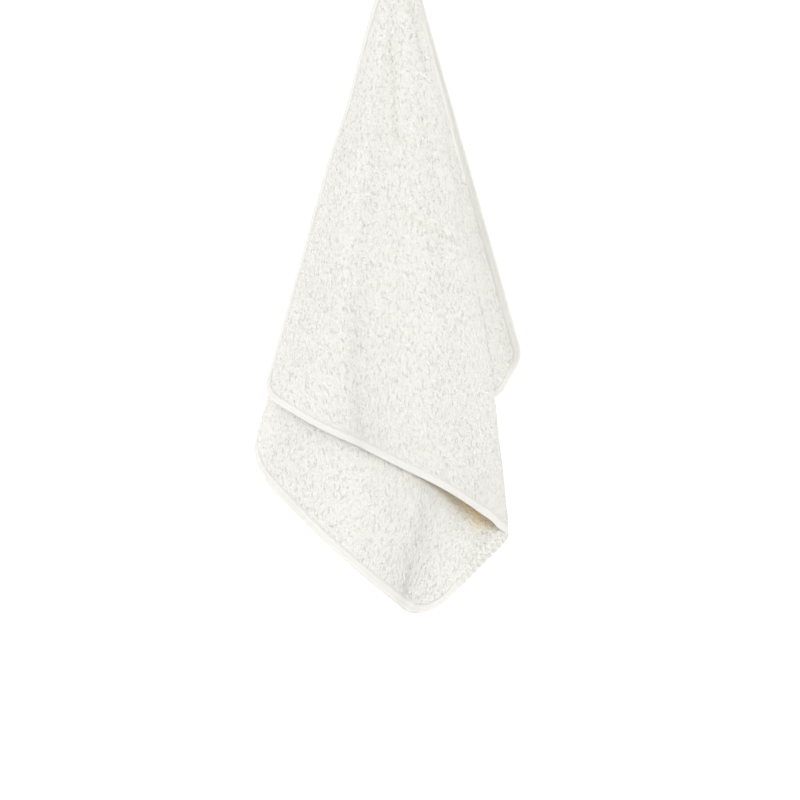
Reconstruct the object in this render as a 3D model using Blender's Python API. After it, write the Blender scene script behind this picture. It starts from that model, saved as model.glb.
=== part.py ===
"""A bath towel in thick cotton terry, hung from the middle of one long side.

The cloth falls away from the hanging point in lines that keep their length, so the towel takes the shape of a
folded cone: a broad front panel, an inner panel that carries the lowest corner, folds tucked behind them, and a
side panel at the right. It is one piece of cloth, and its hems are turned from that cloth.

The hanging point is the origin. X runs to the right as the towel is seen, Y away from its front, and Z up.
"""

import math
from collections import namedtuple

import bpy
import numpy as np

# Driving dimensions, in metres.
TOWEL_LENGTH = 1.40
TOWEL_WIDTH = 0.70
CORNER_RADIUS = 0.045
THICKNESS = 0.004
GATHER_LENGTH = 0.15  # nearer the hanging point than this, the layers crowd and press the pile flat
TIP_LENGTH = 0.008  # the pinched tip, which is closed off plainly
SWING_START = 0.50  # past this distance the lines of the cloth are no longer quite straight

# How closely the mesh follows the folds.
TURN_PER_LINE = 30.0  # degrees of bend from one line of vertices to the next
ARC_PER_LINE = 3.4  # degrees of cloth from one line of vertices to the next, where it is flat
STEPS_ALONG = 17  # vertices along each line
CROWDING = 1.3  # above 1, those vertices lie closer together near the hanging point
SOFTNESS = 0.8  # degrees of cloth over which a bend is rounded
FINE_STEP = 0.1  # degrees of cloth between the points of the worked-out section
PIECES = 24  # short pieces that a smooth curve has between two bends

# The bends met in order around the cloth, from the left edge to the right edge. Each is the direction of one line
# of the cloth, in degrees from straight down: across is to the right, back is away from the front. Swing and lean
# are how far across and back that line curves on its way to the hem, in degrees for the square of each metre past
# SWING_START. Pull is how far the cloth's own weight has stretched that line: more where the weave hangs askew.
Bend = namedtuple("Bend", "name across back swing lean pull")
BENDS = (
    Bend("left edge", -16.1, -1.4, 0.0, 0.0, 1.0),
    Bend("left flank", -15.1, -3.6, 0.0, 0.0, 0.988),
    Bend("ridge", -9.4, -9.0, 65.0, 28.0, 1.019),
    Bend("front valley", -3.8, -8.3, 16.0, -1.0, 1.019),
    Bend("front bulge", 3.9, -9.8, -3.0, 35.0, 1.027),
    Bend("fold in", 9.5, -7.0, -12.0, 13.0, 1.033),
    Bend("right fold", 11.9, -1.6, -18.0, 0.0, 1.0),
    Bend("fold out", 10.9, 0.4, -4.0, -7.0, 0.99),
    Bend("lowest corner", 5.1, -4.0, -16.0, -20.0, 0.987),
    Bend("inner front", 2.0, -6.4, -11.0, -9.0, 1.026),
    Bend("inner wave", -3.4, -6.4, -4.0, -19.0, 1.047),
    Bend("inner flank", -7.9, -5.6, -7.0, -12.0, 1.04),
    Bend("inner side", -13.3, -2.3, -8.0, -29.0, 1.032),
    Bend("left fold", -15.4, 3.3, 0.0, 7.0, 1.023),
    Bend("left fold out", -13.2, 5.2, 0.0, 0.0, 1.0),
    Bend("hidden front", -5.0, 1.4, 0.0, 0.0, 1.0),
    Bend("second turn in", 3.4, 1.4, 0.0, 0.0, 1.0),
    Bend("second turn", 5.5, 3.3, 0.0, 0.0, 1.0),
    Bend("second turn out", 3.2, 5.0, 0.0, 0.0, 1.0),
    Bend("hidden middle", -4.0, 4.6, 0.0, 0.0, 1.0),
    Bend("third turn in", -11.6, 7.4, 0.0, 0.0, 1.0),
    Bend("third turn", -13.6, 9.6, 0.0, 0.0, 1.0),
    Bend("third turn out", -11.8, 12.2, 0.0, 0.0, 1.0),
    Bend("flute left", -9.2, 14.2, 0.0, 0.0, 1.0),
    Bend("flute right", -6.0, 13.6, 0.0, 0.0, 1.0),
    Bend("flute out", -4.4, 9.0, 0.0, 0.0, 1.0),
    Bend("hidden corner", 1.2, 7.2, 0.0, 0.0, 1.0),
    Bend("fourth turn in", 4.0, 7.2, 0.0, 0.0, 1.0),
    Bend("fourth turn", 6.0, 9.0, 0.0, 0.0, 1.0),
    Bend("fourth turn out", 4.0, 10.8, 0.0, 0.0, 1.0),
    Bend("fifth turn in", -2.2, 11.2, 0.0, 0.0, 1.0),
    Bend("fifth turn out", -2.6, 15.8, 0.0, 0.0, 1.0),
    Bend("back", 4.8, 17.2, 0.0, 0.0, 1.0),
    Bend("side panel in", 8.2, 12.6, 0.0, 0.0, 1.0),
    Bend("side ridge in", 10.0, 9.4, 0.0, 0.0, 1.0),
    Bend("side ridge out", 12.0, 9.8, 0.0, 0.0, 1.0),
    Bend("side valley", 13.8, 14.2, 0.0, 0.0, 1.0),
    Bend("right edge", 16.1, 14.8, 0.0, 0.0, 1.0),
)


def between(a, b, t, start, end):
    """The point at t on the straight run from a, at start, to b, at end."""
    share = (t - start) / (end - start)
    return a + (b - a) * share


def smooth_curve(rows):
    """A rounded curve through all the rows: a centripetal Catmull-Rom curve."""
    first = 2 * rows[0] - rows[1]
    last = 2 * rows[-1] - rows[-2]
    rows = np.vstack([first, rows, last])
    curve = []
    for p0, p1, p2, p3 in zip(rows, rows[1:], rows[2:], rows[3:]):
        t1 = math.sqrt(np.linalg.norm((p1 - p0)[:2]))
        t2 = t1 + math.sqrt(np.linalg.norm((p2 - p1)[:2]))
        t3 = t2 + math.sqrt(np.linalg.norm((p3 - p2)[:2]))
        for t in np.linspace(t1, t2, PIECES, endpoint=False):
            a1 = between(p0, p1, t, 0.0, t1)
            a2 = between(p1, p2, t, t1, t2)
            a3 = between(p2, p3, t, t2, t3)
            b1 = between(a1, a2, t, 0.0, t2)
            b2 = between(a2, a3, t, t1, t3)
            curve.append(between(b1, b2, t, t1, t2))
    curve.append(rows[-2])
    return np.array(curve)


def directions(section):
    """Unit vectors down the lines of a section, whose first columns are across and back in degrees."""
    across = np.tan(np.radians(section[:, 0]))
    back = np.tan(np.radians(section[:, 1]))
    down = np.stack([across, back, -np.ones(len(section))], axis=1)
    return down / np.linalg.norm(down, axis=1, keepdims=True)


def angles_along(section):
    """How many degrees of cloth lie between the section's start and each of its lines."""
    ways = directions(section)
    cosines = np.clip((ways[1:] * ways[:-1]).sum(axis=1), -1.0, 1.0)
    return np.concatenate([[0.0], np.cumsum(np.degrees(np.arccos(cosines)))])


def read_at(section, known, wanted):
    """The section read at the wanted angles."""
    return np.stack([np.interp(wanted, known, column) for column in section.T], axis=1)


def softened(section):
    """The section with its bends rounded over SOFTNESS, by a bell-shaped average."""
    reach = math.ceil(4 * SOFTNESS / FINE_STEP)
    offsets = np.arange(-reach, reach + 1) * FINE_STEP
    weights = np.exp(-0.5 * (offsets / SOFTNESS) ** 2)
    weights /= weights.sum()
    before = 2 * section[0] - section[reach:0:-1]
    after = 2 * section[-1] - section[-2 : -reach - 2 : -1]
    padded = np.vstack([before, section, after])
    return np.stack([np.convolve(column, weights, "valid") for column in padded.T], axis=1)


def cloth_section():
    """The cone's section in fine steps, with the flat cloth's own angle at each.

    A straight side is 180 degrees of cloth about a point on it, so the angles are spread over just that.
    """
    rows = np.array([(bend.across, bend.back, bend.swing, bend.lean, bend.pull) for bend in BENDS])
    curve = smooth_curve(rows)
    known = angles_along(curve)
    even = np.arange(0.0, known[-1], FINE_STEP)
    section = softened(read_at(curve, known, even))
    known = angles_along(section)
    return known * 180.0 / known[-1], section


def edge_distance(angle):
    """How far the flat cloth reaches from the hanging point at this angle (degrees) from its left edge."""
    half = TOWEL_LENGTH / 2
    along = abs(math.cos(math.radians(angle)))
    inward = math.sin(math.radians(angle))
    reach = min(half / max(along, 1e-9), TOWEL_WIDTH / max(inward, 1e-9))
    centre_x = half - CORNER_RADIUS
    for centre_y, beyond in ((CORNER_RADIUS, -1), (TOWEL_WIDTH - CORNER_RADIUS, 1)):
        if reach * along > centre_x and (reach * inward - centre_y) * beyond > 0:
            # The line meets this corner's round edge.
            middle = along * centre_x + inward * centre_y
            aside = centre_x**2 + centre_y**2 - CORNER_RADIUS**2
            reach = middle + math.sqrt(middle**2 - aside)
    return reach


def headings(path):
    """The way that a path of 2-D points runs at each of its steps, in degrees without jumps."""
    steps = np.diff(path, axis=0)
    return np.degrees(np.unwrap(np.arctan2(steps[:, 1], steps[:, 0])))


def line_angles(known, section):
    """The angles of the mesh's lines: close where the cloth or its outline bends, and further apart elsewhere."""
    reaches = np.array([edge_distance(angle) for angle in known])
    turned = np.radians(known)
    outline = np.stack([reaches * np.cos(turned), reaches * np.sin(turned)], axis=1)
    effort = np.diff(known) / ARC_PER_LINE
    for path in (section[:, :2], outline):
        heading = headings(path)
        effort += np.abs(np.diff(heading, prepend=heading[0])) / TURN_PER_LINE
    effort = np.concatenate([[0.0], np.cumsum(effort)])
    count = math.ceil(effort[-1])
    return np.interp(np.linspace(0.0, effort[-1], count + 1), effort, known)


def cloth_lines():
    """For each line of the mesh, its distances from the hanging point and its points on the cloth's middle."""
    known, section = cloth_section()
    angles = line_angles(known, section)
    shares = np.linspace(0.0, 1.0, STEPS_ALONG) ** CROWDING
    lines = []
    for angle, (across, back, swing, lean, pull) in zip(angles, read_at(section, known, angles)):
        reach = edge_distance(angle) * pull
        distances = TIP_LENGTH + (reach - TIP_LENGTH) * shares
        curving = np.maximum(distances - SWING_START, 0.0) ** 2
        ways = np.stack([across + swing * curving, back + lean * curving], axis=1)
        lines.append((distances, directions(ways) * distances[:, None]))
    return lines


def terry():
    """Warm white cotton terry."""
    material = bpy.data.materials.new("terry")
    material.use_nodes = True
    surface = material.node_tree.nodes["Principled BSDF"]
    surface.inputs["Base Color"].default_value = (0.86, 0.84, 0.78, 1.0)
    surface.inputs["Roughness"].default_value = 0.95
    surface.inputs["Metallic"].default_value = 0.0
    return material


def towel():
    """The towel: a sheet on the folds, given its thickness by a modifier that a vertex group thins at the top."""
    lines = cloth_lines()
    faces = []
    for line in range(len(lines) - 1):
        for step in range(STEPS_ALONG - 1):
            first = line * STEPS_ALONG + step
            beside = first + STEPS_ALONG
            faces.append((first, first + 1, beside + 1, beside))
    mesh = bpy.data.meshes.new("towel")
    mesh.from_pydata(np.concatenate([points for _, points in lines]).tolist(), [], faces)
    mesh.shade_smooth()
    mesh.materials.append(terry())

    cloth = bpy.data.objects.new("towel", mesh)
    bpy.context.collection.objects.link(cloth)
    loft = cloth.vertex_groups.new(name="loft")
    distances = np.concatenate([line_distances for line_distances, _ in lines])
    for vertex, distance in enumerate(distances):
        loft.add([vertex], min(1.0, distance / GATHER_LENGTH), "REPLACE")

    thicken = cloth.modifiers.new("Thickness", "SOLIDIFY")
    thicken.thickness = THICKNESS
    thicken.offset = 0.0
    thicken.vertex_group = loft.name


def main():
    for old in list(bpy.data.objects):
        bpy.data.objects.remove(old)
    towel()


main()
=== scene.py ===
"""A bath towel in thick cotton terry, hung from the middle of one long side, in a plain pale studio.

The flat cloth is laid out first, in metres: x runs along the upper long side from the hanging point, and y across
the towel from that side. Each of its points is then hung from the origin along the lines of the folds. The towel
is a ground weave, a turned hem all round, and a looped pile on both faces.
"""

import math
from collections import namedtuple

import bmesh
import bpy
import numpy as np
from bpy.props import FloatProperty, FloatVectorProperty, IntProperty, PointerProperty
from mathutils import Matrix, Vector


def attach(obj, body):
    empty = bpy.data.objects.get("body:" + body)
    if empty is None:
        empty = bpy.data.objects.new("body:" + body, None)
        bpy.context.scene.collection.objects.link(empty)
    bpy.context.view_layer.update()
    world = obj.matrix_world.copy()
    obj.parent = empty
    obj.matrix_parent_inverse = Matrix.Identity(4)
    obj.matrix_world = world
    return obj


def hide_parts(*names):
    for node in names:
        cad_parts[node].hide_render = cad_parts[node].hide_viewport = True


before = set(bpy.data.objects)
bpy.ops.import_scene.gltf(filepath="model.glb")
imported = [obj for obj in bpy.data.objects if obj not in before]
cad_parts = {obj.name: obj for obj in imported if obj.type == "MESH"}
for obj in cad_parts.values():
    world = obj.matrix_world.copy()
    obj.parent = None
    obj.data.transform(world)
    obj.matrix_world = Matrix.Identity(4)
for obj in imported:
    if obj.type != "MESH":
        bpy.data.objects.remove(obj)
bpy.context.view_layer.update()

bl_info = {
    "name": "Hanging bath towel",
    "version": (1, 0, 0),
    "blender": (4, 5, 0),
    "location": "3D View > Sidebar > Towel",
    "description": "Makes a terry bath towel that hangs from one point, and the studio round it",
    "category": "Add Mesh",
}

# ---------------------------------------------------------------------------------------------------------------
# The folds
# ---------------------------------------------------------------------------------------------------------------

GATHER_LENGTH = 0.15  # nearer the hanging point than this, the layers crowd and press the pile flat
SWING_START = 0.50  # past this distance the lines of the cloth are no longer quite straight
SOFTNESS = 0.8  # degrees of cloth over which a bend is rounded
FINE_STEP = 0.1  # degrees of cloth between the points of the worked-out section
PIECES = 24  # short pieces that a smooth curve has between two bends
HALF_TURN = 180.0  # degrees of flat cloth round the hanging point, from its left edge to its right edge

# The bends met in order around the cloth, from the left edge to the right edge. Each is the direction of one line
# of the cloth, in degrees from straight down: across is to the right, back is away from the front. Swing and lean
# are how far across and back that line curves on its way to the hem, in degrees for the square of each metre past
# SWING_START. Pull is how far the cloth's own weight has stretched that line: more where the weave hangs askew.
Bend = namedtuple("Bend", "name across back swing lean pull")
BENDS = (
    Bend("left edge", -16.1, -1.4, 0.0, 0.0, 1.0),
    Bend("left flank", -15.1, -3.6, 0.0, 0.0, 0.988),
    Bend("ridge", -9.4, -9.0, 65.0, 28.0, 1.019),
    Bend("front valley", -3.8, -8.3, 16.0, -1.0, 1.019),
    Bend("front bulge", 3.9, -9.8, -3.0, 35.0, 1.027),
    Bend("fold in", 9.5, -7.0, -12.0, 13.0, 1.033),
    Bend("right fold", 11.9, -1.6, -18.0, 0.0, 1.0),
    Bend("fold out", 10.9, 0.4, -4.0, -7.0, 0.99),
    Bend("lowest corner", 5.1, -4.0, -16.0, -20.0, 0.987),
    Bend("inner front", 2.0, -6.4, -11.0, -9.0, 1.026),
    Bend("inner wave", -3.4, -6.4, -4.0, -19.0, 1.047),
    Bend("inner flank", -7.9, -5.6, -7.0, -12.0, 1.04),
    Bend("inner side", -13.3, -2.3, -8.0, -29.0, 1.032),
    Bend("left fold", -15.4, 3.3, 0.0, 7.0, 1.023),
    Bend("left fold out", -13.2, 5.2, 0.0, 0.0, 1.0),
    Bend("hidden front", -5.0, 1.4, 0.0, 0.0, 1.0),
    Bend("second turn in", 3.4, 1.4, 0.0, 0.0, 1.0),
    Bend("second turn", 5.5, 3.3, 0.0, 0.0, 1.0),
    Bend("second turn out", 3.2, 5.0, 0.0, 0.0, 1.0),
    Bend("hidden middle", -4.0, 4.6, 0.0, 0.0, 1.0),
    Bend("third turn in", -11.6, 7.4, 0.0, 0.0, 1.0),
    Bend("third turn", -13.6, 9.6, 0.0, 0.0, 1.0),
    Bend("third turn out", -11.8, 12.2, 0.0, 0.0, 1.0),
    Bend("flute left", -9.2, 14.2, 0.0, 0.0, 1.0),
    Bend("flute right", -6.0, 13.6, 0.0, 0.0, 1.0),
    Bend("flute out", -4.4, 9.0, 0.0, 0.0, 1.0),
    Bend("hidden corner", 1.2, 7.2, 0.0, 0.0, 1.0),
    Bend("fourth turn in", 4.0, 7.2, 0.0, 0.0, 1.0),
    Bend("fourth turn", 6.0, 9.0, 0.0, 0.0, 1.0),
    Bend("fourth turn out", 4.0, 10.8, 0.0, 0.0, 1.0),
    Bend("fifth turn in", -2.2, 11.2, 0.0, 0.0, 1.0),
    Bend("fifth turn out", -2.6, 15.8, 0.0, 0.0, 1.0),
    Bend("back", 4.8, 17.2, 0.0, 0.0, 1.0),
    Bend("side panel in", 8.2, 12.6, 0.0, 0.0, 1.0),
    Bend("side ridge in", 10.0, 9.4, 0.0, 0.0, 1.0),
    Bend("side ridge out", 12.0, 9.8, 0.0, 0.0, 1.0),
    Bend("side valley", 13.8, 14.2, 0.0, 0.0, 1.0),
    Bend("right edge", 16.1, 14.8, 0.0, 0.0, 1.0),
)

# Soft creases and dents on top of the folds. Each runs from one place on the cloth to another. A place is the
# angle of its line, in degrees from the left edge, and its distance from the hanging point. Rise is towards the
# outer face, and width is how far the crease reaches to either side.
Crease = namedtuple("Crease", "name angle reach end_angle end_reach width rise")
CREASES = (
    Crease("left flank dent", 5.0, 0.40, 6.0, 0.52, 0.022, -0.0020),
    Crease("ridge crest high", 10.4, 0.45, 11.8, 0.57, 0.007, 0.0018),
    Crease("ridge crest low", 11.8, 0.57, 11.3, 0.67, 0.007, 0.0020),
    Crease("ridge foot", 13.4, 0.52, 14.0, 0.69, 0.009, -0.0028),
    Crease("valley dent high", 15.2, 0.56, 16.2, 0.62, 0.013, -0.0026),
    Crease("valley dent low", 16.8, 0.65, 17.9, 0.72, 0.012, -0.0026),
    Crease("valley swell", 19.5, 0.58, 20.5, 0.66, 0.012, 0.0018),
    Crease("long crease side", 17.6, 0.20, 20.8, 0.31, 0.006, 0.0012),
    Crease("front cross swell", 22.1, 0.397, 31.2, 0.432, 0.006, 0.0018),
    Crease("bulge dent", 26.0, 0.62, 27.0, 0.68, 0.022, -0.0020),
    Crease("fold dent high", 30.3, 0.635, 30.8, 0.655, 0.007, -0.0026),
    Crease("fold dent low", 32.4, 0.67, 32.3, 0.695, 0.006, -0.0026),
    Crease("hem wave left", 6.0, 0.66, 7.0, 0.69, 0.012, 0.0016),
    Crease("hem wave middle", 21.0, 0.71, 22.0, 0.75, 0.018, -0.0016),
    Crease("fold mouth", 39.5, 0.85, 41.5, 0.90, 0.022, 0.0070),
    Crease("corner fill", 48.6, 0.84, 46.9, 0.96, 0.055, -0.0100),
    Crease("inner dent", 54.0, 0.80, 56.0, 0.84, 0.020, 0.0020),
    Crease("inner trough", 61.0, 0.71, 62.0, 0.76, 0.014, -0.0020),
    Crease("side dent", 172.0, 0.50, 174.0, 0.62, 0.016, 0.0025),
    Crease("back dent high", 158.0, 0.40, 160.0, 0.55, 0.022, -0.0035),
    Crease("back dent low", 150.0, 0.60, 156.0, 0.68, 0.026, 0.0035),
    Crease("flute dent", 110.0, 0.52, 114.0, 0.62, 0.022, -0.0035),
)

# Sharp creases, which part the loops. Here rise is the share of their height that the loops lose, which also
# darkens the base colour there as painted shade.
PARTINGS = (
    Crease("top crease", 26.5, 0.11, 29.8, 0.21, 0.0028, 0.9),
    Crease("top crease left", 22.0, 0.10, 23.6, 0.125, 0.0026, 0.8),
    Crease("long crease", 15.9, 0.17, 19.2, 0.30, 0.0036, 0.7),
    Crease("front cross crease", 22.1, 0.407, 31.2, 0.444, 0.0036, 0.8),
    Crease("fold crease", 33.6, 0.382, 31.4, 0.442, 0.0036, 0.7),
)

# Slow swells all over the cloth: how broad they are and how far they stand off the folds.
Swell = namedtuple("Swell", "size height seed")
SLOW_SWELLS = (Swell(0.028, 0.0005, 13), Swell(0.055, 0.0010, 11), Swell(0.13, 0.0020, 12))
SMOOTH_REACH, UNEVEN_REACH = 0.04, 0.35  # creases and swells grow from nothing to full between these distances

# The inside of the right fold, where a warm shade is painted into the base colour. Its mouth is MOUTH_REACH down
# the line at MOUTH_ANGLE, and MOUTH_SLOPE further down for each degree nearer the cloth's left edge, but never
# past
# MOUTH_END.
MOUTH_ANGLE, MOUTH_REACH, MOUTH_SLOPE, MOUTH_END = 44.8, 0.824, 0.0145, 0.884
PAINTED_SHADE_ANGLE = 39.5  # the line in the middle of the tucked-in cloth


def between(a, b, t, start, end):
    """The point at t on the straight run from a, at start, to b, at end."""
    share = (t - start) / (end - start)
    return a + (b - a) * share


def smooth_curve(rows):
    """A rounded curve through all the rows: a centripetal Catmull-Rom curve."""
    rows = np.vstack([2 * rows[0] - rows[1], rows, 2 * rows[-1] - rows[-2]])
    curve = []
    for p0, p1, p2, p3 in zip(rows, rows[1:], rows[2:], rows[3:]):
        t1 = math.sqrt(np.linalg.norm((p1 - p0)[:2]))
        t2 = t1 + math.sqrt(np.linalg.norm((p2 - p1)[:2]))
        t3 = t2 + math.sqrt(np.linalg.norm((p3 - p2)[:2]))
        for t in np.linspace(t1, t2, PIECES, endpoint=False):
            a1 = between(p0, p1, t, 0.0, t1)
            a2 = between(p1, p2, t, t1, t2)
            a3 = between(p2, p3, t, t2, t3)
            b1 = between(a1, a2, t, 0.0, t2)
            b2 = between(a2, a3, t, t1, t3)
            curve.append(between(b1, b2, t, t1, t2))
    curve.append(rows[-2])
    return np.array(curve)


def directions(across, back):
    """Unit vectors down the lines that lean across and back by these degrees."""
    down = np.stack([np.tan(np.radians(across)), np.tan(np.radians(back)), -np.ones(len(across))], axis=1)
    return down / np.linalg.norm(down, axis=1, keepdims=True)


def angles_along(section):
    """How many degrees of cloth lie between the section's start and each of its lines."""
    ways = directions(section[:, 0], section[:, 1])
    cosines = np.clip((ways[1:] * ways[:-1]).sum(axis=1), -1.0, 1.0)
    return np.concatenate([[0.0], np.cumsum(np.degrees(np.arccos(cosines)))])


def read_at(section, known, wanted):
    """The section read at the wanted angles."""
    return np.stack([np.interp(wanted, known, column) for column in section.T], axis=1)


def softened(section):
    """The section with its bends rounded over SOFTNESS, by a bell-shaped average."""
    reach = math.ceil(4 * SOFTNESS / FINE_STEP)
    weights = np.exp(-0.5 * (np.arange(-reach, reach + 1) * FINE_STEP / SOFTNESS) ** 2)
    weights /= weights.sum()
    before = 2 * section[0] - section[reach:0:-1]
    after = 2 * section[-1] - section[-2 : -reach - 2 : -1]
    padded = np.vstack([before, section, after])
    return np.stack([np.convolve(column, weights, "valid") for column in padded.T], axis=1)


def cloth_section():
    """The folds' section in fine steps, with the flat cloth's own angle, of HALF_TURN in all, at each."""
    curve = smooth_curve(np.array([(bend.across, bend.back, bend.swing, bend.lean, bend.pull) for bend in BENDS]))
    known = angles_along(curve)
    section = softened(read_at(curve, known, np.arange(0.0, known[-1], FINE_STEP)))
    known = angles_along(section)
    return known * HALF_TURN / known[-1], section


ANGLES, SECTION = cloth_section()


def smooth_step(values, low, high):
    """0 below low, 1 above high, and an easy rise between."""
    t = np.clip((values - low) / (high - low), 0.0, 1.0)
    return t * t * (3 - 2 * t)


# ---------------------------------------------------------------------------------------------------------------
# Uneven patterns on the flat cloth
# ---------------------------------------------------------------------------------------------------------------

LIE_TURN = 9.0  # degrees of cloth over which the loops of the material lie the same way
LIE_SHIFT = 0.37  # metres that the material's pattern jumps from one such sector to the next
TUFT_TURN = 22.5  # degrees of cloth from one heading of the modelled tufts to the next, with a blend between
TUFT_SHIFT = 0.731  # metres that the pattern of tufts jumps from one heading to the next
TUFT_SIZE = (0.0090, 0.0052)  # metres down the hanging lines and aside
LOOSE_GRID = 1500  # squares in a metre, each of which has a loop of its own height
LOW_32_BITS, LOW_24_BITS = 0xFFFFFFFF, 0xFFFFFF  # what is kept of each number that scatter mixes


def scatter(column, row, seed):
    """An even spread of numbers from 0 to 1, one for each square of a grid."""
    mixed = column.astype(np.int64) * 374761393 + row.astype(np.int64) * 668265263 + seed * 974634777
    mixed &= LOW_32_BITS
    for shift, factor in ((13, 1274126177), (16, 2246822519)):
        mixed = ((mixed ^ (mixed >> shift)) * factor) & LOW_32_BITS
    return ((mixed ^ (mixed >> 15)) & LOW_24_BITS) / LOW_24_BITS


def swells(x, y, size, seed):
    """Smooth unevenness from -1 to 1, with swells of about this size in metres."""
    x, y = x / size, y / size
    column, row = np.floor(x), np.floor(y)
    u, v = x - column, y - row
    u, v = u * u * u * (u * (u * 6 - 15) + 10), v * v * v * (v * (v * 6 - 15) + 10)
    low = scatter(column, row, seed) * (1 - u) + scatter(column + 1, row, seed) * u
    high = scatter(column, row + 1, seed) * (1 - u) + scatter(column + 1, row + 1, seed) * u
    return (low * (1 - v) + high * v) * 2 - 1


def ripples(along, size, seed):
    """Smooth unevenness from -1 to 1 on a line."""
    return swells(along, np.zeros(len(along)), size, seed)


def turned(x, y, heading):
    """How far places lie along this heading, in radians, and how far aside."""
    return x * np.cos(heading) + y * np.sin(heading), y * np.cos(heading) - x * np.sin(heading)


def tufts(x, y, length, width, seed):
    """Clumps of loops: how far each place is from its clump's middle and from its edge, and the clump's number."""
    x, y = x / length, y / width
    column, row = np.floor(x), np.floor(y)
    nearest = np.full(x.shape, 9.0)
    second = np.full(x.shape, 9.0)
    own = np.zeros(x.shape)
    for step_x in (-1, 0, 1):
        for step_y in (-1, 0, 1):
            c, r = column + step_x, row + step_y
            far = np.hypot(c + 0.1 + 0.8 * scatter(c, r, seed) - x, r + 0.1 + 0.8 * scatter(c, r, seed + 1) - y)
            closer = far < nearest
            second = np.where(closer, nearest, np.minimum(second, far))
            own = np.where(closer, scatter(c, r, seed + 2), own)
            nearest = np.where(closer, far, nearest)
    return nearest, second - nearest, own


# ---------------------------------------------------------------------------------------------------------------
# Hanging the flat cloth
# ---------------------------------------------------------------------------------------------------------------


def polar(x, y):
    """The angle of each place's line, in degrees from the left edge, and its distance from the hanging point."""
    return np.degrees(np.arctan2(np.maximum(y, 0.0), x)), np.hypot(x, y)


def flat_place(angle, reach):
    """Where on the flat cloth the line at this angle has come this far."""
    return np.array([reach * math.cos(math.radians(angle)), reach * math.sin(math.radians(angle))])


def on_folds(x, y):
    """Where places of the flat cloth hang, on the folds alone."""
    angle, reach = polar(x, y)
    across, back, swing, lean, pull = read_at(SECTION, ANGLES, angle).T
    reach = reach * pull
    curving = np.maximum(reach - SWING_START, 0.0) ** 2
    return directions(across + swing * curving, back + lean * curving) * reach[:, None]


def outward(x, y):
    """Unit vectors out of the cloth's outer face, the one at the front of the front panel."""
    step = 0.0015  # metres to the places on either side that give the slope
    along = on_folds(x + step, y) - on_folds(x - step, y)
    over = on_folds(x, y + step) - on_folds(x, y - np.minimum(step, y))
    out = np.cross(along, over)
    return out / np.maximum(np.linalg.norm(out, axis=1, keepdims=True), 1e-12)


def near_crease(x, y, crease):
    """1 in the middle of the crease, falling to nothing on either side."""
    start = flat_place(crease.angle, crease.reach)
    run = flat_place(crease.end_angle, crease.end_reach) - start
    share = np.clip(((x - start[0]) * run[0] + (y - start[1]) * run[1]) / run.dot(run), 0.0, 1.0)
    aside = np.hypot(x - start[0] - share * run[0], y - start[1] - share * run[1])
    return np.exp(-((aside / crease.width) ** 2))


def unevenness(x, y):
    """How far the cloth stands off its folds, towards the outer face."""
    height = np.zeros(len(x))
    for swell in SLOW_SWELLS:
        height += swell.height * swells(x, y, swell.size, swell.seed)
    for crease in CREASES:
        height += crease.rise * near_crease(x, y, crease)
    return height * smooth_step(np.hypot(x, y), SMOOTH_REACH, UNEVEN_REACH)


def parted(x, y):
    """How far the sharp creases part the loops, from 0 to 1."""
    return np.max([crease.rise * near_crease(x, y, crease) for crease in PARTINGS], axis=0)


def painted_fold_shade(x, y):
    """How deep each place lies inside the right fold, where only light off the cloth itself comes: the share of
    painted warm shade.
    """
    angle, reach = polar(x, y)
    mouth = np.minimum(MOUTH_REACH + (MOUTH_ANGLE - angle) * MOUTH_SLOPE, MOUTH_END)
    aside = np.abs(angle - PAINTED_SHADE_ANGLE)
    return (1 - smooth_step(reach - mouth, -0.040, 0.002)) * (1 - smooth_step(aside, 7.5, 12.5))


def hung(x, y, height):
    """Where places of the flat cloth hang, this high above its middle on the outer face."""
    gathered = np.minimum(1.0, np.hypot(x, y) / GATHER_LENGTH)
    return on_folds(x, y) + outward(x, y) * (unevenness(x, y) + height * gathered)[:, None]


def inset(x, y, cloth):
    """How far places of the flat cloth lie inside its outline."""
    over_x = np.abs(x) - (cloth.length / 2 - cloth.corner_radius)
    over_y = np.abs(y - cloth.width / 2) - (cloth.width / 2 - cloth.corner_radius)
    beyond = np.hypot(np.maximum(over_x, 0.0), np.maximum(over_y, 0.0))
    return cloth.corner_radius - beyond - np.minimum(np.maximum(over_x, over_y), 0.0)


def round_corners(x, y, margin, cloth):
    """Places of a rectangle drawn in from the cloth's outline by margin, moved so that its corners are round."""
    radius = cloth.corner_radius - margin
    centre_x = cloth.length / 2 - cloth.corner_radius
    centre_y = cloth.width / 2 - cloth.corner_radius
    u = np.maximum(np.abs(x) - centre_x, 0.0) / radius
    v = np.maximum(np.abs(y - cloth.width / 2) - centre_y, 0.0) / radius
    corner = (u > 0) & (v > 0)
    new_x = np.sign(x) * (centre_x + radius * u * np.sqrt(1 - v * v / 2))
    new_y = cloth.width / 2 + np.sign(y - cloth.width / 2) * (centre_y + radius * v * np.sqrt(1 - u * u / 2))
    return np.where(corner, new_x, x), np.where(corner, new_y, y)


# ---------------------------------------------------------------------------------------------------------------
# Making pieces
# ---------------------------------------------------------------------------------------------------------------


def grid_piece(name, cells_across, cells_along):
    """A new object with a flat grid of faces, and each of its vertices' shares across and along the grid."""
    mesh = bpy.data.meshes.new(name)
    grid = bmesh.new()
    bmesh.ops.create_grid(grid, x_segments=cells_across, y_segments=cells_along, size=1.0)
    grid.to_mesh(mesh)
    grid.free()
    piece = bpy.data.objects.new(name, mesh)
    bpy.context.collection.objects.link(piece)
    places = np.empty(len(mesh.vertices) * 3, dtype=np.float32)
    mesh.vertices.foreach_get("co", places)
    shares = places.reshape(-1, 3)[:, :2] / 2 + 0.5
    return piece, shares[:, 0].astype(float), shares[:, 1].astype(float)


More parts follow.
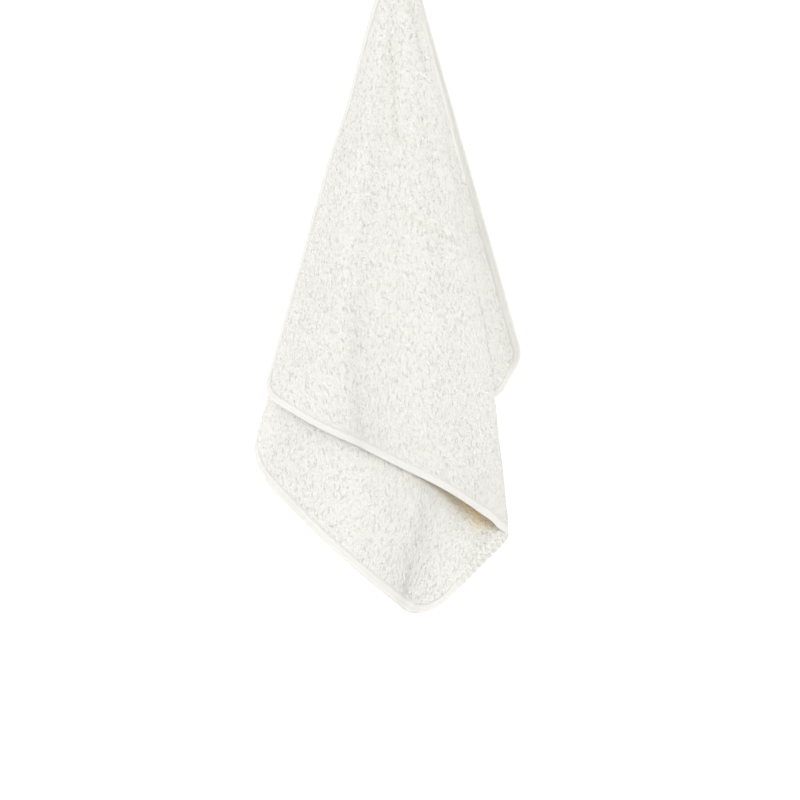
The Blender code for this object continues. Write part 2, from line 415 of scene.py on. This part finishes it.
def place_vertices(piece, places):
    """Moves the piece's vertices to these places."""
    piece.data.vertices.foreach_set("co", places.astype(np.float32).ravel())
    piece.data.update()


def corners_of(mesh):
    """The vertex at each face corner."""
    found = np.empty(len(mesh.loops), dtype=np.int32)
    mesh.loops.foreach_get("vertex_index", found)
    return found


def add_map(mesh, name, u, v):
    """A UV map from a pair of numbers at each face corner."""
    layer = mesh.uv_layers.new(name=name)
    layer.uv.foreach_set("vector", np.stack([u, v], axis=1).astype(np.float32).ravel())


def add_lie(mesh, x, y, corner_vertex):
    """The UV map that the loops lie along, whose u runs down the hanging lines, in sectors LIE_TURN wide."""
    faces = len(mesh.polygons)
    x, y = x[corner_vertex], y[corner_vertex]
    angle = np.degrees(np.arctan2(y.reshape(faces, 4).mean(axis=1), x.reshape(faces, 4).mean(axis=1)))
    turn = np.repeat(np.round(angle / LIE_TURN), 4)
    down, aside = turned(x, y, np.radians(turn * LIE_TURN))
    add_map(mesh, "lie", down, aside + turn * LIE_SHIFT)


def add_values(mesh, name, values):
    """A number at each vertex, for the material to read."""
    mesh.attributes.new(name, "FLOAT", "POINT").data.foreach_set("value", values.astype(np.float32))


def finish_piece(piece, material):
    """The piece's finish and its body."""
    piece.data.materials.append(material)
    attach(piece, "root")


# ---------------------------------------------------------------------------------------------------------------
# Materials
# ---------------------------------------------------------------------------------------------------------------

# Sizes in metres. The pairs are down the hanging lines and aside.
LOOP_SIZE = (0.0042, 0.0024)
GAP_SIZE = (0.0080, 0.0034)
CURL = (0.0060, 0.0056)  # how far the loops stray from straight lines
WARP_PITCH, WEFT_PITCH, STITCH_PITCH = 0.0011, 0.0009, 0.0030


class Value:
    """A number that varies over a surface: a node's output, with Python's arithmetic."""

    def __init__(self, surface, socket):
        self.surface = surface
        self.socket = socket

    def maths(self, operation, first, second):
        return self.surface.node("Math", {"operation": operation}, {0: first, 1: second})

    def __add__(self, other):
        return self.maths("ADD", self, other)

    def __radd__(self, other):
        return self.maths("ADD", other, self)

    def __sub__(self, other):
        return self.maths("SUBTRACT", self, other)

    def __rsub__(self, other):
        return self.maths("SUBTRACT", other, self)

    def __mul__(self, other):
        return self.maths("MULTIPLY", self, other)

    def above(self, low, high):
        """0 below low, 1 above high, and an easy rise between."""
        settings = {"interpolation_type": "SMOOTHSTEP"}
        return self.surface.node("MapRange", settings, {"Value": self, "From Min": low, "From Max": high})


class Surface:
    """A material with a Principled shader, whose nodes are added from Python."""

    def __init__(self, name):
        self.material = bpy.data.materials.new(name)
        self.material.use_nodes = True
        self.tree = self.material.node_tree
        self.shader = self.tree.nodes["Principled BSDF"]

    def feed(self, socket, value):
        """Links a value to a socket, or sets the socket to a plain number, vector or colour."""
        if isinstance(value, Value):
            self.tree.links.new(value.socket, socket)
        else:
            socket.default_value = value

    def node(self, kind, settings, sockets, output=0):
        """Adds a node, with its settings before its sockets, and gives one of its outputs."""
        made = self.tree.nodes.new("ShaderNode" + kind)
        for name, value in settings.items():
            setattr(made, name, value)
        for name, value in sockets.items():
            self.feed(made.inputs[name], value)
        return Value(self, made.outputs[output])

    def mix(self, share, first, second):
        """A colour between two others. The Mix node's colour inputs are 6 and 7, and its colour output is 2."""
        return self.node("Mix", {"data_type": "RGBA"}, {"Factor": share, 6: first, 7: second}, 2)

    def noise(self, place, scale, roughness=0.5):
        """Soft noise on a flat map, with this many grains in a metre."""
        sockets = {"Vector": place, "Scale": scale, "Detail": 2.0, "Roughness": roughness}
        return self.node("TexNoise", {"noise_dimensions": "2D"}, sockets)

    def wave(self, distance, pitch):
        """A wave from -1 to 1 with this pitch in metres."""
        return self.node("Math", {"operation": "SINE"}, {0: distance * (math.tau / pitch)})

    def finish(self, sockets):
        """Sets or links the shader's own sockets."""
        for name, value in sockets.items():
            self.feed(self.shader.inputs[name], value)
        return self.material


def colour(value):
    """A colour setting as a socket takes it."""
    return (*value, 1.0)


def terry_material(looks):
    """Looped cotton pile: small loops that lie down the hanging lines, with short pits between them."""
    surface = Surface("terry pile")
    lie = surface.node("UVMap", {"uv_map": "lie"}, {})
    loft = surface.node("Attribute", {"attribute_name": "loft"}, {}, "Fac")
    # Painted shade: a warm colour mixed in deep inside the right fold.
    painted_shade_share = surface.node("Attribute", {"attribute_name": "painted_fold_shade"}, {}, "Fac")
    drift = surface.node("TexNoise", {"noise_dimensions": "2D"}, {"Vector": lie, "Scale": 260.0, "Detail": 3.0}, 1)
    curled = surface.node("VectorMath", {"operation": "MULTIPLY_ADD"}, {0: drift, 1: (*CURL, 0.0), 2: lie})
    small, large = (
        surface.node("VectorMath", {"operation": "MULTIPLY"}, {0: curled, 1: (1 / down, 1 / aside, 1.0)})
        for down, aside in (LOOP_SIZE, GAP_SIZE)
    )
    cells = {"voronoi_dimensions": "2D", "feature": "F1"}
    loops = surface.node("TexVoronoi", cells, {"Vector": small, "Scale": 1.0})
    gaps = surface.node("TexNoise", {"noise_dimensions": "2D"}, {"Vector": large, "Scale": 1.0, "Detail": 1.0})
    pit = 1 - gaps.above(0.26, 0.42)
    grain = surface.noise(lie, 700.0, roughness=0.7)
    broad = surface.noise(lie, 60.0)
    height = grain * 0.8 - loops * 0.9 - pit * 0.6
    # Painted shade: the base colour darkens where the loops are low, towards their edges and in the pits; grain
    # and broad add random tone.
    bright = 0.82 + (loft - 0.5) * 0.5 - (loops - 0.45) * 0.4 - pit * 0.3
    bright = bright + (grain - 0.5) * 0.8 + (broad - 0.5) * 0.2
    cotton_and_painted_shade = surface.mix(bright.above(0.0, 1.0), colour(looks.shade_and_grain_colour), colour(looks.tip_colour))
    return surface.finish({
        # Deep inside the right fold the warm painted shade is mixed over the cotton's colour.
        "Base Color": surface.mix(painted_shade_share, cotton_and_painted_shade, colour(looks.painted_shade_colour)),
        "Roughness": 0.95,
        "Specular IOR Level": 0.1,
        "Sheen Weight": 0.1,
        "Sheen Roughness": 0.5,
        "Normal": surface.node("Bump", {}, {"Height": height, "Strength": 0.95, "Distance": 0.0016}),
    })


def hem_material(looks):
    """The hem's plain weave, with a row of stitches sunk along it."""
    surface = Surface("hem weave")
    place = surface.node("UVMap", {"uv_map": "cloth"}, {})
    along = surface.node("SeparateXYZ", {}, {0: place}, 0)
    over = surface.node("SeparateXYZ", {}, {0: place}, 1)
    seam = surface.node("Attribute", {"attribute_name": "seam"}, {}, "Fac")
    thread = surface.wave(along, WARP_PITCH) * surface.wave(over, WEFT_PITCH)
    stitch = surface.wave(along, STITCH_PITCH).above(-0.4, 0.5)
    grain = surface.noise(place, 600.0, roughness=0.7)
    # Painted shade in the sunk seams and the gathers; the stitches along them are a little lighter, and thread and
    # grain add pattern.
    bright = 0.80 - seam * 0.20 + seam * stitch * 0.10 + thread * 0.04 + (grain - 0.5) * 0.8
    return surface.finish({
        "Base Color": surface.mix(bright.above(0.0, 1.0), colour(looks.shade_and_grain_colour), colour(looks.hem_colour)),
        "Roughness": 0.9,
        "Specular IOR Level": 0.2,
        "Sheen Weight": 0.08,
        "Sheen Roughness": 0.5,
        "Normal": surface.node("Bump", {}, {
            "Height": thread * 0.25 + grain * 0.9 + seam * stitch,
            "Strength": 0.8,
            "Distance": 0.0008,
        }),
    })


def ground_material(looks):
    """The plain ground weave that the loops stand on."""
    surface = Surface("ground weave")
    place = surface.node("TexCoord", {}, {}, "Object")
    grain = surface.node("TexNoise", {}, {"Vector": place, "Scale": 900.0, "Detail": 2.0})
    return surface.finish({
        "Base Color": surface.mix(grain, colour(looks.shade_and_grain_colour), colour(looks.hem_colour)),
        "Roughness": 0.95,
        "Normal": surface.node("Bump", {}, {"Height": grain, "Strength": 0.4, "Distance": 0.0004}),
    })


# ---------------------------------------------------------------------------------------------------------------
# Settings
# ---------------------------------------------------------------------------------------------------------------


def metres(name, default, description):
    """A setting that is a length."""
    return FloatProperty(name=name, description=description, default=default, unit="LENGTH")


def watts(name, default, description):
    """A setting that is a light's power."""
    return FloatProperty(name=name, description=description, default=default, unit="POWER")


def shade(name, default, description):
    """A setting that is a colour."""
    return FloatVectorProperty(
        name=name, description=description, default=default, subtype="COLOR", min=0.0, max=1.0
    )


class TowelCloth(bpy.types.PropertyGroup):
    """The flat cloth and how finely it is made."""

    length: metres("Length", 1.40, "Long side of the flat towel")
    width: metres("Width", 0.70, "Short side of the flat towel")
    corner_radius: metres("Corner radius", 0.045, "Radius of the rounded corners")
    hem_width: metres("Hem width", 0.012, "Width of the turned hem, where the pile ends")
    hem_thickness: metres("Hem thickness", 0.0034, "Thickness of the turned hem")
    ground_thickness: metres("Ground thickness", 0.0012, "Thickness of the weave under the loops")
    pile_height: metres("Pile height", 0.0026, "How far the loops stand from the middle of the cloth")
    pile_step: metres("Pile step", 0.0022, "Distance between the points of the pile's surface")
    hem_step: metres("Hem step", 0.0022, "Distance between the points along the hem")
    ground_step: metres("Ground step", 0.008, "Distance between the points of the ground weave")
    patches: IntProperty(name="Patches", description="Pieces that each face's pile is made in", default=4, min=1)


class TowelLooks(bpy.types.PropertyGroup):
    """The towel's colours."""

    tip_colour: shade("Tips", (0.825, 0.813, 0.77), "Colour of the loops' tips")
    # The dark end of the colours: painted shade between the loops, in creases and sunk seams, and random grain.
    shade_and_grain_colour: shade("Painted shade and grain", (0.67, 0.65, 0.595), "Colour deep between the loops")
    # The colour of the warm shade painted deep inside the right fold.
    painted_shade_colour: shade("Painted fold shade", (0.95, 0.78, 0.48), "Colour deep inside the right fold")
    hem_colour: shade("Hem", (0.81, 0.80, 0.76), "Colour of the hem's weave")


class StudioSettings(bpy.types.PropertyGroup):
    """The floor, the light and the camera."""

    floor_drop: metres("Floor drop", 1.60, "How far the floor lies below the hanging point")
    floor_colour: shade("Floor", (0.97, 0.97, 0.97), "Colour of the floor")
    sky_strength: FloatProperty(name="Room light", description="Strength of the even room light", default=1.06)
    key_power: watts("Key light", 45.0, "Power of the soft light at the left front")
    fill_power: watts("Fill light", 34.0, "Power of the soft light at the right front")
    camera_tilt: FloatProperty(
        name="Camera tilt", description="How far the camera looks down", default=math.radians(7.0), subtype="ANGLE"
    )
    camera_lens: FloatProperty(name="Lens", description="Focal length in millimetres", default=135.0)
    view_height: metres("View height", 1.104, "Height of the view at the towel")
    view_right: metres("View right", 0.00138, "How far the view's middle is right of the hanging point")
    view_down: metres("View down", 0.66654, "How far the view's middle is down from the hanging point")


# ---------------------------------------------------------------------------------------------------------------
# Pieces
# ---------------------------------------------------------------------------------------------------------------


THINNEST = 0.05  # the share of its thickness that the ground weave keeps at the hanging point


class TOWEL_OT_ground(bpy.types.Operator):
    """Makes the ground weave: a thin closed sheet on the folds, from hem to hem"""

    bl_idname = "towel.ground"
    bl_label = "Ground weave"

    def execute(self, context):
        cloth = context.scene.towel_cloth
        margin = cloth.hem_width / 2
        length, width = cloth.length - 2 * margin, cloth.width - 2 * margin
        across, along = round(length / cloth.ground_step), round(width / cloth.ground_step)
        piece, u, v = grid_piece("cloth", across, along)
        x, y = round_corners((u - 0.5) * length, margin + v * width, margin, cloth)
        place_vertices(piece, hung(x, y, np.zeros(len(x))))
        piece.data.shade_smooth()
        body = piece.vertex_groups.new(name="body")
        for vertex, share in enumerate(np.clip(np.hypot(x, y) / GATHER_LENGTH, THINNEST, 1.0)):
            body.add([vertex], float(share), "REPLACE")
        thicken = piece.modifiers.new("Thickness", "SOLIDIFY")
        thicken.thickness = cloth.ground_thickness
        thicken.offset = 0.0
        thicken.vertex_group = body.name
        finish_piece(piece, ground_material(context.scene.towel_looks))
        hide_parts("towel")
        return {"FINISHED"}


# One face of the hem's section, from its inner side to the outer edge: how far in from the edge, how high above
# the middle of the cloth as a share of the hem's half thickness, and how deep in a seam, which is painted as
# shade.
HemPoint = namedtuple("HemPoint", "inset height seam")
HEM_SECTION = (
    HemPoint(0.0125, 0.30, 0.3),
    HemPoint(0.0118, 0.55, 0.6),
    HemPoint(0.0110, 0.62, 0.9),
    HemPoint(0.0102, 0.60, 1.0),
    HemPoint(0.0094, 0.76, 0.3),
    HemPoint(0.0080, 0.92, 0.0),
    HemPoint(0.0066, 0.92, 0.0),
    HemPoint(0.0054, 0.80, 0.5),
    HemPoint(0.0044, 0.90, 0.2),
    HemPoint(0.0032, 1.00, 0.0),
    HemPoint(0.0018, 0.96, 0.0),
    HemPoint(0.0007, 0.68, 0.0),
    HemPoint(0.0000, 0.00, 0.0),
)
SEAM_INSET = 0.0102  # where the deepest seam lies
HEM_GIRTH = 0.027  # the way round the section
GATHER_ANGLES = (37.5, 39.0, 41.5, 43.5)  # where the hem's gathers start, are full, still are and end
GATHER_PITCH = 0.0088
GATHER_DEPTH = 0.8  # the share of its height that the hem loses between gathers
GATHER_SHADE = 2.3  # how dark it is there, where a seam is 1
BAKE_ROWS = 12  # rows that the hem's long bake map is cut into
BAKE_GAP = 0.02  # empty share of each row, above and below


class TOWEL_OT_hem(bpy.types.Operator):
    """Makes the hem: the cloth's edge turned over and stitched down, all the way round"""

    bl_idname = "towel.hem"
    bl_label = "Hem"

    def execute(self, context):
        cloth = context.scene.towel_cloth
        radius = cloth.corner_radius
        straight_x, straight_y = cloth.length - 2 * radius, cloth.width - 2 * radius
        corner = math.pi / 2 * radius
        runs = (straight_x, corner, straight_y, corner) * 2
        perimeter = sum(runs)
        other_face = [HemPoint(row.inset, -row.height, row.seam) for row in reversed(HEM_SECTION[:-1])]
        rows = np.array([*HEM_SECTION, *other_face, HEM_SECTION[0]])
        piece, u, v = grid_piece("hem", round(perimeter / cloth.hem_step), len(rows) - 1)

        # Each side is a straight run and the round corner after it. Behind is how far back each place lies from
        # the end of its straight run.
        starts = np.concatenate([[0.0], np.cumsum(runs)])
        along = u * perimeter
        run = np.clip(np.searchsorted(starts, along, side="right") - 1, 0, len(runs) - 1)
        into = along - starts[run]
        side, turning = run // 2, run % 2 == 1
        heading = np.where(turning, into / radius, 0.0) + side * math.pi / 2
        ahead_x, ahead_y = np.cos(heading), np.sin(heading)
        outward_x, outward_y = ahead_y, -ahead_x
        centre_x = np.where(side < 2, straight_x / 2, -straight_x / 2)
        centre_y = np.where((side == 1) | (side == 2), straight_y / 2, -straight_y / 2)
        behind = np.where(turning, 0.0, into - np.where(side % 2 == 0, straight_x, straight_y))
        inward, height, seam = (np.interp(v * (len(rows) - 1), np.arange(len(rows)), column) for column in rows.T)
        x = centre_x + ahead_x * behind + outward_x * (radius - inward)
        y = cloth.width / 2 + centre_y + ahead_y * behind + outward_y * (radius - inward)

        # The cloth puckers and wanders between its seams, and is gathered where the right fold turns the hem, with
        # painted shade in the gathers.
        fullness = np.sin(np.clip(inward / SEAM_INSET, 0.0, 1.0) * math.pi)
        pucker = ripples(along, 0.011, 21) * 0.5 + ripples(along, 0.0052, 22) * 0.35
        lift = cloth.hem_thickness / 2 * height * (1 + 0.22 * pucker * fullness)
        wander = 0.0006 * ripples(along, 0.03, 23) * fullness
        x += outward_x * wander
        y += outward_y * wander
        angle = polar(x, y)[0]
        start, full, still_full, end = GATHER_ANGLES
        gathers = smooth_step(angle, start, full) * (1 - smooth_step(angle, still_full, end)) * (x > 0)
        gathers = gathers * (0.5 + 0.5 * np.sin(along * (math.tau / GATHER_PITCH)))
        place_vertices(piece, hung(x, np.maximum(y, 0.0), lift * (1 - GATHER_DEPTH * gathers)))
        # Seam depth and gathers, which the hem's material darkens as painted shade.
        add_values(piece.data, "seam", np.maximum(seam, GATHER_SHADE * gathers))

        corner_vertex = corners_of(piece.data)
        faces = len(piece.data.polygons)
        u_face = np.repeat(u[corner_vertex].reshape(faces, 4).mean(axis=1), 4)
        row = np.floor(u_face * BAKE_ROWS)
        up_row = BAKE_GAP + (1 - 2 * BAKE_GAP) * v[corner_vertex]
        add_map(piece.data, "cloth", along[corner_vertex], v[corner_vertex] * HEM_GIRTH)
        add_map(piece.data, "OFBake", u[corner_vertex] * BAKE_ROWS - row, (row + up_row) / BAKE_ROWS)

        ring = bmesh.new()
        ring.from_mesh(piece.data)
        bmesh.ops.remove_doubles(ring, verts=ring.verts, dist=0.00001)
        bmesh.ops.recalc_face_normals(ring, faces=ring.faces)
        ring.to_mesh(piece.data)
        ring.free()
        piece.data.shade_smooth()
        finish_piece(piece, hem_material(context.scene.towel_looks))
        return {"FINISHED"}


HEM_LAP = 0.0008  # how far the pile reaches under the hem
PILE_RISE = 0.0022  # how far inside the hem the pile is at its full height
PILE_FOOT = 0.0004  # the pile's height where it reaches under the hem
FACES = (("outer", 1, 31), ("inner", -1, 61))  # each face's name, its side of the cloth and its patterns' seed


def pile_height(x, y, cloth, seed):
    """How high the loops' surface stands above the middle of the cloth, and how lofty it is, from 0 to 1."""
    turn = polar(x, y)[0] / TUFT_TURN
    low = np.floor(turn)
    into = smooth_step(turn - low, 0.15, 0.85)
    loft = np.zeros(len(x))
    for heading, share in ((low, 1 - into), (low + 1, into)):
        down, aside = turned(x, y, np.radians(heading * TUFT_TURN))
        down = down + 0.0016 * swells(down, aside, 0.006, seed + 3)
        aside = aside + 0.0014 * swells(down, aside, 0.007, seed + 4)
        shift = heading * TUFT_SHIFT
        middle, edge, own = tufts(down + shift, aside + shift, *TUFT_SIZE, seed)
        clump = 1 - smooth_step(middle, 0.0, 0.95)
        crack = 1 - smooth_step(edge, 0.02, 0.35)
        loft += share * (0.50 + 0.20 * clump + 0.15 * own - 0.30 * crack * own)
    loose = scatter(np.round(x * LOOSE_GRID), np.round(y * LOOSE_GRID), seed + 8) - 0.5
    loft = np.clip(loft + 0.50 * loose - parted(x, y), 0.0, 1.0)
    middle = cloth.ground_thickness / 2
    height = middle + (cloth.pile_height - middle) * (0.15 + 0.85 * loft)
    border = inset(x, y, cloth) - 0.0007 * (1 + swells(x, y, 0.0065, seed + 9))
    rise = smooth_step(border, cloth.hem_width - HEM_LAP, cloth.hem_width + PILE_RISE)
    return PILE_FOOT + (height - PILE_FOOT) * rise, loft * (0.4 + 0.6 * rise)


class TOWEL_OT_pile(bpy.types.Operator):
    """Makes the looped pile of both faces, in patches that meet edge to edge"""

    bl_idname = "towel.pile"
    bl_label = "Pile"

    def execute(self, context):
        cloth = context.scene.towel_cloth
        material = terry_material(context.scene.towel_looks)
        margin = cloth.hem_width - HEM_LAP
        length, width = cloth.length - 2 * margin, cloth.width - 2 * margin
        across = round(length / cloth.pile_step / cloth.patches)
        along = round(width / cloth.pile_step)
        for face, side, seed in FACES:
            for patch in range(cloth.patches):
                piece, u, v = grid_piece(f"pile_{face}_{patch + 1}", across, along)
                x = ((patch + u) / cloth.patches - 0.5) * length
                x, y = round_corners(x, margin + v * width, margin, cloth)
                height, loft = pile_height(x, y, cloth, seed)
                place_vertices(piece, hung(x, y, height * side))
                # Low loft darkens the base colour: painted shade in the pits, the parted creases and the groove by
                # the hem.
                add_values(piece.data, "loft", loft)
                # The warm shade painted inside the right fold, on the inner face only.
                add_values(piece.data, "painted_fold_shade", painted_fold_shade(x, y) * (side < 0))
                corner_vertex = corners_of(piece.data)
                add_lie(piece.data, x, y, corner_vertex)
                add_map(piece.data, "OFBake", u[corner_vertex], v[corner_vertex])
                if side < 0:
                    piece.data.flip_normals()
                piece.data.shade_smooth()
                finish_piece(piece, material)
        return {"FINISHED"}


FLOOR_SIDE = 60.0  # metres, so that its edge is out of sight

# Square lights: where each one stands, what it is turned to, and its side in metres.
SoftLight = namedtuple("SoftLight", "name place aim side")
KEY = SoftLight("key", (-3.5, -1.5, 0.6), (-0.05, 0.0, -0.45), 1.2)
FILL = SoftLight("fill", (2.9, -2.1, -0.5), (0.05, 0.0, -0.45), 1.8)


class TOWEL_OT_stage(bpy.types.Operator):
    """Makes the plain floor, the soft light and the camera"""

    bl_idname = "towel.stage"
    bl_label = "Studio"

    def execute(self, context):
        scene, studio = context.scene, context.scene.towel_studio
        floor, u, v = grid_piece("floor", 1, 1)
        drop = np.full(len(u), studio.floor_drop)
        place_vertices(floor, np.stack([(u - 0.5) * FLOOR_SIDE, (v - 0.5) * FLOOR_SIDE, -drop], axis=1))
        paint = Surface("floor")
        floor.data.materials.append(
            paint.finish({"Base Color": colour(studio.floor_colour), "Roughness": 0.9, "Specular IOR Level": 0.0})
        )

        room = bpy.data.worlds.new("room")
        room.use_nodes = True
        light = room.node_tree.nodes["Background"]
        light.inputs["Color"].default_value = (1.0, 1.0, 1.0, 1.0)
        light.inputs["Strength"].default_value = studio.sky_strength
        scene.world = room

        self.add_light(scene, KEY, studio.key_power)
        self.add_light(scene, FILL, studio.fill_power)

        tilt = -studio.camera_tilt
        ahead = Vector((0.0, math.cos(tilt), math.sin(tilt)))
        up = Vector((0.0, -math.sin(tilt), math.cos(tilt)))
        right = Vector((1.0, 0.0, 0.0))
        lens = bpy.data.cameras.new("camera")
        lens.lens = studio.camera_lens
        lens.sensor_width = 36.0
        lens.clip_end = 100.0
        camera = bpy.data.objects.new("camera", lens)
        scene.collection.objects.link(camera)
        away = studio.camera_lens * studio.view_height / lens.sensor_width
        aim = right * studio.view_right - up * studio.view_down
        turn = Matrix((right, up, -ahead)).transposed().to_4x4()
        camera.matrix_world = Matrix.Translation(aim - ahead * away) @ turn
        scene.camera = camera
        scene.view_settings.view_transform = "Standard"
        return {"FINISHED"}

    @staticmethod
    def add_light(scene, soft, power):
        """Adds a square soft light, turned to its aim."""
        light = bpy.data.lights.new(soft.name, "AREA")
        light.size = soft.side
        light.energy = power
        lamp = bpy.data.objects.new(soft.name, light)
        lamp.location = soft.place
        lamp.rotation_euler = (Vector(soft.aim) - Vector(soft.place)).to_track_quat("-Z", "Y").to_euler()
        scene.collection.objects.link(lamp)


class TOWEL_OT_declare(bpy.types.Operator):
    """Takes no step: the pieces are left as they are"""

    bl_idname = "towel.declare"
    bl_label = "Declare the sheet"

    def execute(self, context):
        return {"FINISHED"}


class TOWEL_PT_panel(bpy.types.Panel):
    """The towel's pieces and sizes"""

    bl_label = "Towel"
    bl_idname = "TOWEL_PT_panel"
    bl_space_type = "VIEW_3D"
    bl_region_type = "UI"
    bl_category = "Towel"

    def draw(self, context):
        for step in STEPS:
            self.layout.operator(step.bl_idname)
        for settings in (context.scene.towel_cloth, context.scene.towel_looks, context.scene.towel_studio):
            box = self.layout.box()
            for name in type(settings).__annotations__:
                box.prop(settings, name)


STEPS = (TOWEL_OT_ground, TOWEL_OT_hem, TOWEL_OT_pile, TOWEL_OT_declare, TOWEL_OT_stage)
SETTINGS = {"towel_cloth": TowelCloth, "towel_looks": TowelLooks, "towel_studio": StudioSettings}


def register():
    for made in (*SETTINGS.values(), *STEPS, TOWEL_PT_panel):
        bpy.utils.register_class(made)
    for name, made in SETTINGS.items():
        setattr(bpy.types.Scene, name, PointerProperty(type=made))


def unregister():
    for name in SETTINGS:
        delattr(bpy.types.Scene, name)
    for made in reversed((*SETTINGS.values(), *STEPS, TOWEL_PT_panel)):
        bpy.utils.unregister_class(made)


def main():
    register()
    bpy.ops.towel.ground()
    bpy.ops.towel.hem()
    bpy.ops.towel.pile()
    bpy.ops.towel.declare()
    bpy.ops.towel.stage()


if __name__ == "__main__":
    main()
